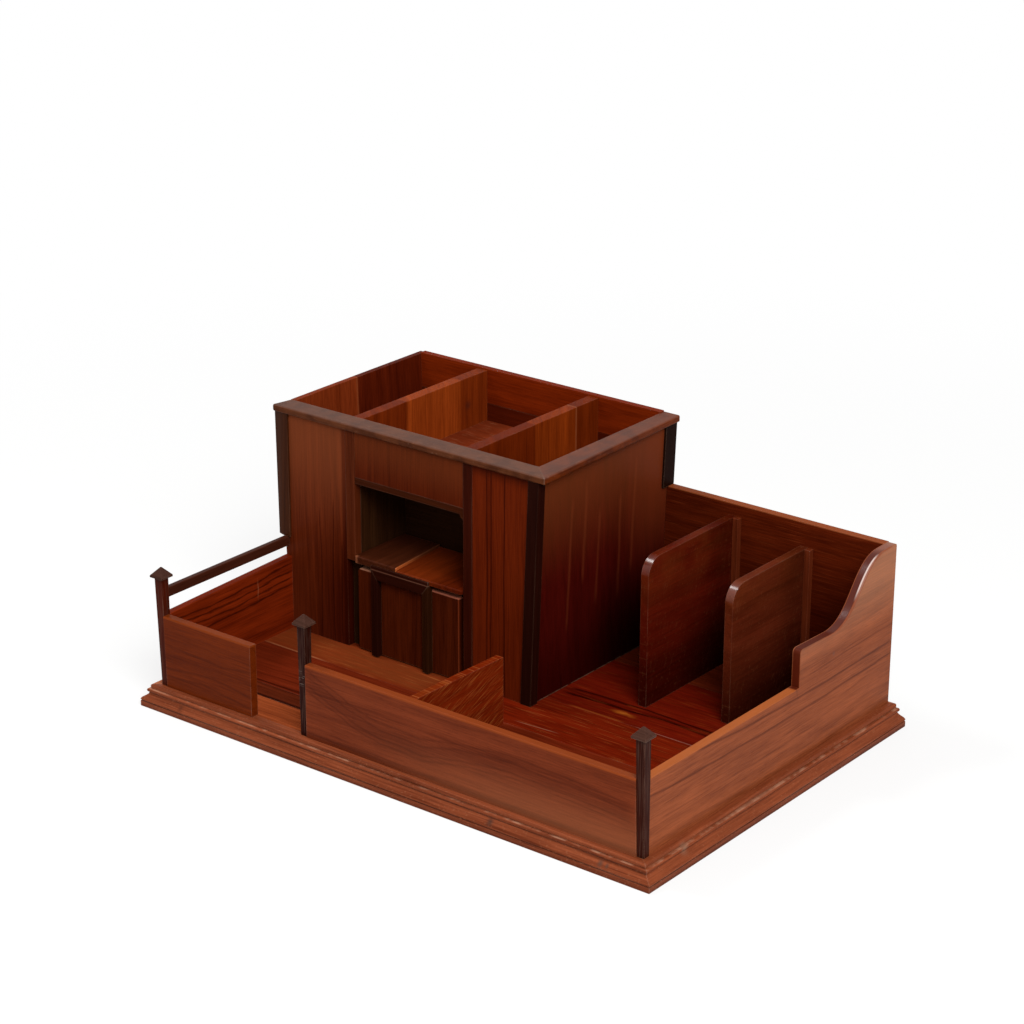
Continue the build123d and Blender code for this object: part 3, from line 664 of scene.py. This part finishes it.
marks["partition_left"] = [
    shade("a07060", 0.6, lambda at, x, y, z: rise(y, 185, 188, 1.0, 0.0)),
    shade("9c6c54", 0.5, lambda at, x, y, z: rise(y, 245, 247)),
    tint("3c1810", 0.6, lambda at, x, y, z: spot(y, z, (254, 160), 5.0)),
]
marks["partition_right"] = [
    shade("a07060", 0.6, lambda at, x, y, z: rise(y, 203, 206, 1.0, 0.0)),
    shade("9c6c54", 0.5, lambda at, x, y, z: rise(y, 250, 252)),
    tint("9a6040", 0.25, lambda at, x, y, z: window(y, 249.5, 251, 0.5)),
]
marks["tower_wall_left"] = [
    shade("8c5040", 0.75, lambda at, x, y, z: rise(y, 205, 207)),
    tint("9a5c38", 0.2, lambda at, x, y, z: window(y, 204.6, 206, 0.6)),
]
marks["tray_floor"] = [
    tint("b0805c", 0.4, lambda at, x, y, z: scratches(x, y, 21, 16.0, 0.6)),
]
print("the tower's right wall has", len(marks["tower_wall_right"]), "marks")

# %% [markdown]
# ## Lid, drawer and doorway
# The left board of the lid is thicker, and its side is painted as a bright orange line of painted light
# that fades towards the back. Painted highlights lie on the lid's front left corner, on the drawer's
# upper edge and right edge, and on the head of the doorway, and the right part of the lid is painted
# darker as painted shade. The seam of the lid is slanted, and its mask leans with it.

# %% Mark the lid and the drawer
marks["lid_board_left"] = [
    # painted light: the lit side of the thicker left board, an orange line fading towards the back
    tint("c0602a", 0.72, lambda at, x, y, z: rise(x + (y - 125) * 0.095, 102.6, 103.1) * rise(
        y, 126, 158, 1.0, 0.12)),
    # painted highlight on the lid's front left corner
    tint("96583a", 0.5, lambda at, x, y, z: bell(x, 67.5, 2.5) * rise(y, 126, 128, 1.0, 0.0)),
]
marks["lid_board_right"] = [
    # painted shade: the right part of the lid is darker
    shade("96604a", 0.7, lambda at, x, y, z: rise(x, 122, 156)),
]
marks["drawer_front"] = [
    # painted highlights along the drawer front's upper edge, paler at its left corner, and along its
    # right edge
    tint("a8604a", 0.8, lambda at, x, y, z: rise(z, 75.8, 76.7)),
    tint("a8785c", 0.6, lambda at, x, y, z: rise(z, 75.8, 76.7) * rise(x, 76, 82, 1.0, 0.0)),
    tint("8a3c20", 0.4, lambda at, x, y, z: bell(x, 155.5, 0.55)),
]
marks["doorway_head"] = [
    # painted highlight along the lower edge of the doorway's head
    tint("8a5844", 0.35, lambda at, x, y, z: bell(z, 81.2, 0.7)),
]
print("the drawer's front has", len(marks["drawer_front"]), "marks")

# %% [markdown]
# ## Rack, rim and posts
# The upper half of the rack's dividers is mottled paler, and their lower part and back end are painted
# darker as painted shade. The rim is mottled, and its top face carries a greyish painted reflection.
# The posts have fine upright scratches. Pieces of one kind share their marks, so a loop writes them,
# and the gate's post gets one more where hands knock against it.

# %% Mark the rack, the rim and the posts
for name in ("rack_divider_left", "rack_divider_right"):
    marks[name] = [
        tint("6c3412", 0.25, lambda at, x, y, z: rise(z, 70, 122) * specks(at, 31, 22, 0.2, 0.7)),
        # painted shade: darker towards the bottom and towards the back end
        shade("806458", 0.8, lambda at, x, y, z: rise(z, 20, 70, 1.0, 0.0)),
        shade("8a7068", 0.5, lambda at, x, y, z: rise(y, 230, 262)),
        tint("8a5838", 0.1, lambda at, x, y, z: specks(at, 33, 2.2, 0.6, 0.72)),
        tint("7a4a30", 0.15, lambda at, x, y, z: scratches(z + y * 0.4, y - z * 0.4, 35)),
    ]
for name in ("rim_front", "rim_right"):
    marks[name] = [
        shade("a49490", 0.6, lambda at, x, y, z: specks(at, 53, 12.0, 0.4, 0.65)),
        # painted reflection: the top face is painted greyer
        tint("8a6c60", 0.15, lambda at, x, y, z: rise(z, 179.6, 180.4)),
        tint("b08a74", 0.12, lambda at, x, y, z: specks(at, 37, 1.6, 0.64, 0.74)),
    ]
for name in ("post_left", "post_gate", "post_right"):
    marks[name] = [
        tint("6a5246", 0.14, lambda at, x, y, z: scratches(z, x - y, 49, 26.0, 0.9, 0.5)),
    ]
marks["post_gate"] += [tint("a8988c", 0.3, lambda at, x, y, z: window(
    z, 52, 62, 3) * scratches(x - y, z, 51, 5.0, 0.7, 0.58))]
print("pieces with marks so far:", len(marks))

# %% [markdown]
# ## The base
# The groove above the nose and the hollow under the bead are painted darker as painted shade, the foot
# of the moulding is darker, and a broken pale line on the top of the bead is a painted highlight. The
# four runs share these bands of height, the right one has one more painted highlight on its bead, and
# the front one has a few dark knocks besides.

# %% Mark the base mouldings
for name in ("base_moulding_front", "base_moulding_right", "base_moulding_left",
             "base_moulding_back"):
    marks[name] = [
        # painted highlight: a broken pale line along the top of the bead
        tint("c09478", 0.4, lambda at, x, y, z: window(z, 12.6, 13.0, 0.25) * specks(
            at, 41, 9.0, 0.4, 0.7)),
        # painted shade in the groove above the nose and in the hollow under the bead; the foot is
        # darker
        shade("6c4c44", 0.6, lambda at, x, y, z: window(z, 3.6, 4.5, 0.3)),
        shade("7c5a50", 0.5, lambda at, x, y, z: window(z, 9.6, 10.6, 0.5)),
        shade("8a6860", 0.45, lambda at, x, y, z: rise(z, 1.0, 2.4, 1.0, 0.0)),
        tint("a06a4c", 0.2, lambda at, x, y, z: specks(at, 43, 1.6, 0.6, 0.72)),
    ]
marks["base_moulding_front"] += [
    tint("3c2820", 0.8, lambda at, x, y, z: spot(x, z, (289.5, 7.6), 3.6)),
    tint("4a342a", 0.8, lambda at, x, y, z: spot(x, z, (374.0, 7.4), 3.0)),
    tint("4a342a", 0.8, lambda at, x, y, z: spot(x, z, (379.0, 7.2), 2.0)),
    tint("3a1c12", 0.5, lambda at, x, y, z: spot(x, z, (25.0, 7.3), 3.0)),
]
marks["base_moulding_right"] += [
    tint("8a7c68", 0.35, lambda at, x, y, z: spot(y, z, (34.0, 11.5), 5.0)),
    # painted highlight on the bead
    tint("a87c64", 0.3, lambda at, x, y, z: window(y, 90, 128, 8) * window(
        z, 12.6, 13.6, 0.5)),
]
print("the front moulding has", len(marks["base_moulding_front"]), "marks")

# %% [markdown]
# ## Where hands rub
# Three places shine more than the rest: the rounded front corners of the rack's dividers and
# the sweep of the right panel. Polish is a clear coat, so a mask sets the weight of the coat.

# %% Say where hands rub
rubbed = {
    "rack_divider_left": lambda at, x, y, z: spot(y, z, (176, 118), 11),
    "rack_divider_right": lambda at, x, y, z: spot(y, z, (189, 109), 11),
    "side_panel_right": lambda at, x, y, z: window(
        x, 394.6, 399.4, 0.3) * rise(y, 200, 215) * 0.3,
}
print("marks on", len(marks), "pieces, hands have rubbed", len(rubbed))

# %% [markdown]
# ## Which board has which grain and colour
# Front walls, floor and back run across the tray, side pieces run front to back, and the
# tower's faces stand on end. No two boards of an old piece are quite alike, so the table gives
# each its kind, the direction of its grain and the colour that it has on average.

# %% Dress every board
table = [
    ("base_moulding_front", "base", X, "71361e"), ("base_moulding_back", "base", X, "8c4a2e"),
    ("base_moulding_right", "base", Y, "6e341c"), ("base_moulding_left", "base", Y, "94502f"),
    ("floor_board_1", "floor", X, "863d1d"), ("floor_board_2", "floor", X, "501c0b"),
    ("floor_board_3", "floor", X, "5f1d0a"), ("floor_board_4", "floor", X, "5f1504"),
    ("floor_board_5", "floor", X, "5a1004"), ("floor_board_6", "floor", X, "541908"),
    ("front_wall_left", "wall", X, "581e04"), ("front_wall_right", "wall", X, "642913"),
    ("back_panel", "floor", X, "481404"), ("side_wall_left", "side", Y, "661d05"),
    ("tray_divider", "divider", Y, "621a04"), ("side_panel_right", "panel", Y, "7a3d21"),
    ("rack_divider_left", "rack", Y, "4a0e04"), ("rack_divider_right", "rack", Y, "501c0c"),
    ("rack_cleats", "dark", Z, "57210e"),
    ("tower_front_board_left", "tower", Z, "531d09"), ("tower_front_board_right", "tower", Z, "561904"),
    ("lintel_board", "tower", Z, "451404"), ("tower_wall_right", "tower", Z, "3c0804"),
    ("niche_head", "black", X, "351406"),
    ("tower_wall_left", "inner", Z, "6e290e"), ("tower_back_lower", "inner", X, "481304"),
    ("tower_back_upper", "inner", X, "6a1f04"), ("partition_left", "inner", Z, "7c310c"),
    ("partition_right", "inner", Z, "722a07"), ("tray_floor", "inner", X, "6c2912"),
    # painted shade: the niche's cheeks and back are written far darker than the other inner boards
    ("niche_cheek_left", "inner", Z, "2d1709"), ("niche_cheek_right", "inner", Z, "3c1810"),
    ("niche_back", "inner", X, "2a1509"),
    ("post_left", "dark", Z, "3b0f04"), ("post_gate", "dark", Z, "220804"),
    ("post_right", "dark", Z, "2a0b04"), ("post_caps", "dark", X, "3b241c"),
    ("side_rail", "dark", Y, "3a190e"), ("front_strip_left", "black", Z, "491c0a"),
    ("front_strip_right", "black", Z, "2f0c04"), ("tower_corner_right", "black", Z, "1f0804"),
    ("tower_corner_left", "dark", Z, "351707"), ("tower_corner_back", "black", Z, "180804"),
    ("doorway_stile_left", "black", Z, "220904"), ("doorway_stile_right", "black", Z, "291105"),
    ("doorway_head", "black", X, "250a04"), ("rim_front", "dark", X, "4f2814"),
    ("rim_right", "dark", Y, "562106"), ("drawer_front", "lid", Z, "411404"),
    ("lid_board_left", "lid", Y, "3b180a"), ("lid_board_right", "lid", Y, "622207"),
    ("drawer_side_left", "plain", Y, "8a5a38"), ("drawer_side_right", "plain", Y, "8a5a38"),
    ("drawer_back", "plain", X, "8a5a38"), ("drawer_bottom", "plain", Y, "946440"),
    ("drawer_guides", "plain", Y, "7c4c30"), ("lid_battens", "plain", X, "7c4c30"),
    ("lid_cleats", "plain", Y, "7c4c30"),
]
for seed, (name, kind_name, along, code) in enumerate(table, 1):
    board(name, kind_name, along, seed, code, marks.get(name, ()), rubbed.get(name))
print("boards dressed:", len(table))

# %% [markdown]
# ## Steel wire for the lid's pins
# Two short ends of wire carry the lid. Drawn wire has fine scratches along it and a dull gloss.

# %% Dress the pins
def wire_steel(node):
    """Gives a node dull drawn steel with a few brown stains."""
    material = bpy.data.materials.new(node)
    sheet = Sheet(material)
    at, _ = place(sheet)
    scratch = drawn_out(at, X, 71, length=8.0, width=0.12, detail=3.0)
    stain = rise(drawn_out(at, X, 73, length=1.5, width=1.5), 0.5, 0.7)
    colour = mix(sheet, stain, paint("8c8a86"), paint("5a4436"))
    shader = sheet.add("ShaderNodeBsdfPrincipled", sockets={
        "Base Color": colour, "Metallic": 1 - stain * 0.5, "Roughness": scratch * 0.3 + 0.2})
    sheet.add("ShaderNodeOutputMaterial", sockets={"Surface": shader})
    dress(node, material)


wire_steel("lid_pins")
print("the pins have", len(nodes["lid_pins"].data.vertices), "points of mesh")

# %% [markdown]
# ## Softened arrises
# A plane leaves an edge that is broken by a third of a millimetre, and that thin line catches
# the light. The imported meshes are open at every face, so a Weld modifier joins them first, a
# Bevel rounds what is sharper than 35 degrees, and weighted normals keep the flats flat. The
# mouldings and the doorway's head have their own small rounds already and stay as they are.

# %% Soften the edges
arris = 0.35                     # mm
sharp_angle = 35                 # degrees


def soften(node):
    """Joins the faces of a node's mesh and rounds its sharp edges."""
    piece = nodes[node]
    piece.data.shade_smooth()
    weld = piece.modifiers.new("weld", "WELD")
    weld.merge_threshold = 0.00001
    bevel = piece.modifiers.new("bevel", "BEVEL")
    bevel.width = arris / 1000
    bevel.segments = 2
    bevel.limit_method = "ANGLE"
    bevel.angle_limit = math.radians(sharp_angle)
    bevel.harden_normals = False
    normals = piece.modifiers.new("normals", "WEIGHTED_NORMAL")
    normals.keep_sharp = False


crisp = {"lid_pins", "doorway_head", "base_moulding_front", "base_moulding_right",
         "base_moulding_back", "base_moulding_left"}
for name in nodes:
    if name not in crisp:
        soften(name)
print("edges softened on", len(nodes) - len(crisp), "pieces")

# %% [markdown]
# ## The floor under it
# The tray stands on a plain pale disc. Its far part glows white for the camera and for what a
# mirror or a glass shows, so that floor and background are one, while the part near the tray
# stays dull enough to keep its shadow. Light Path tells these rays from those that carry light.

# %% Lay the floor
floor_radius = 7.0
floor_sides = 96
floor_drop = 0.0002              # the base doesn't share its plane with the floor
floor_grey = (0.82, 0.82, 0.81, 1)
shadow_reach = 0.25              # metres from the middle where the floor starts to fade
white_reach = 1.1
near_white = 0.7                 # how white the floor glows where the shadow falls
white = (1, 1, 1, 1)


def plain_sight(sheet):
    """1 for a ray from the camera, or from a mirror or a glass that shows what is behind."""
    rays = sheet.add("ShaderNodeLightPath").socket.node
    seen = Wire(sheet, rays.outputs["Is Camera Ray"])
    mirrored = Wire(sheet, rays.outputs["Is Glossy Ray"])
    through = Wire(sheet, rays.outputs["Is Transmission Ray"])
    return seen + mirrored + through


def floor_disc():
    """A pale disc that grows white with its distance from the tray."""
    mesh = bpy.data.meshes.new("floor")
    turns = [math.tau * i / floor_sides for i in range(floor_sides)]
    ring = [(floor_radius * math.cos(a), floor_radius * math.sin(a), -floor_drop) for a in turns]
    mesh.from_pydata(ring, [], [list(range(floor_sides))])
    disc = bpy.data.objects.new("floor", mesh)
    bpy.context.scene.collection.objects.link(disc)
    material = bpy.data.materials.new("floor")
    sheet = Sheet(material)
    sight = plain_sight(sheet)
    here = sheet.add("ShaderNodeNewGeometry", out="Position")
    away = sheet.add("ShaderNodeVectorMath", {"operation": "LENGTH"}, {0: here}, out="Value")
    share = sight * rise(away, shadow_reach, white_reach, near_white, 1.0)
    plain = sheet.add("ShaderNodeBsdfDiffuse", sockets={"Color": floor_grey})
    glow = sheet.add("ShaderNodeEmission", sockets={"Color": white, "Strength": 1.0})
    both = sheet.add("ShaderNodeMixShader", sockets={0: share, 1: plain, 2: glow})
    sheet.add("ShaderNodeOutputMaterial", sockets={"Surface": both})
    mesh.materials.append(material)
    return disc


floor = floor_disc()
print("floor of", len(floor.data.vertices), "sides,", floor_radius * 2, "m across")

# %% [markdown]
# ## Lamps and air
# A large soft lamp to the right lights the front and the right side. A smaller one at the
# left draws thin highlights along the edges of the rack. The air gives an even light from all
# around, and it looks white where it is seen straight or in the polish.

# %% Hang the lamps
def soft_lamp(name, stands_at, looks_at, side, power):
    """A square lamp, side in metres and power in watts, turned to what it lights."""
    data = bpy.data.lights.new(name, "AREA")
    data.shape = "SQUARE"
    data.size = side
    data.energy = power
    lamp = bpy.data.objects.new(name, data)
    lamp.location = stands_at
    lamp.rotation_mode = "QUATERNION"
    lamp.rotation_quaternion = (Vector(looks_at) - Vector(stands_at)).to_track_quat("-Z", "Y")
    bpy.context.scene.collection.objects.link(lamp)
    return lamp


soft_lamp("key", (1.5, -1.1, 1.7), (0, 0, 0.05), side=1.2, power=62)
soft_lamp("edge", (-1.1, -0.25, 1.78), (0, 0, 0.08), side=0.5, power=14)
print("lamps:", [lamp.name for lamp in bpy.data.lights])

# %% Fill the air
air_light = 0.5
air_seen = 1.0
world = bpy.data.worlds.new("air")
bpy.context.scene.world = world
air = Sheet(world)
sight = plain_sight(air)
dim = air.add("ShaderNodeBackground", sockets={"Color": white, "Strength": air_light})
bright = air.add("ShaderNodeBackground", sockets={"Color": white, "Strength": air_seen})
both = air.add("ShaderNodeMixShader", sockets={0: sight, 1: dim, 2: bright})
air.add("ShaderNodeOutputWorld", sockets={"Surface": both})
bpy.context.scene.view_settings.view_transform = "Standard"
print("the air lights with", air_light, "and is seen at", air_seen)

# %% [markdown]
# ## Finish
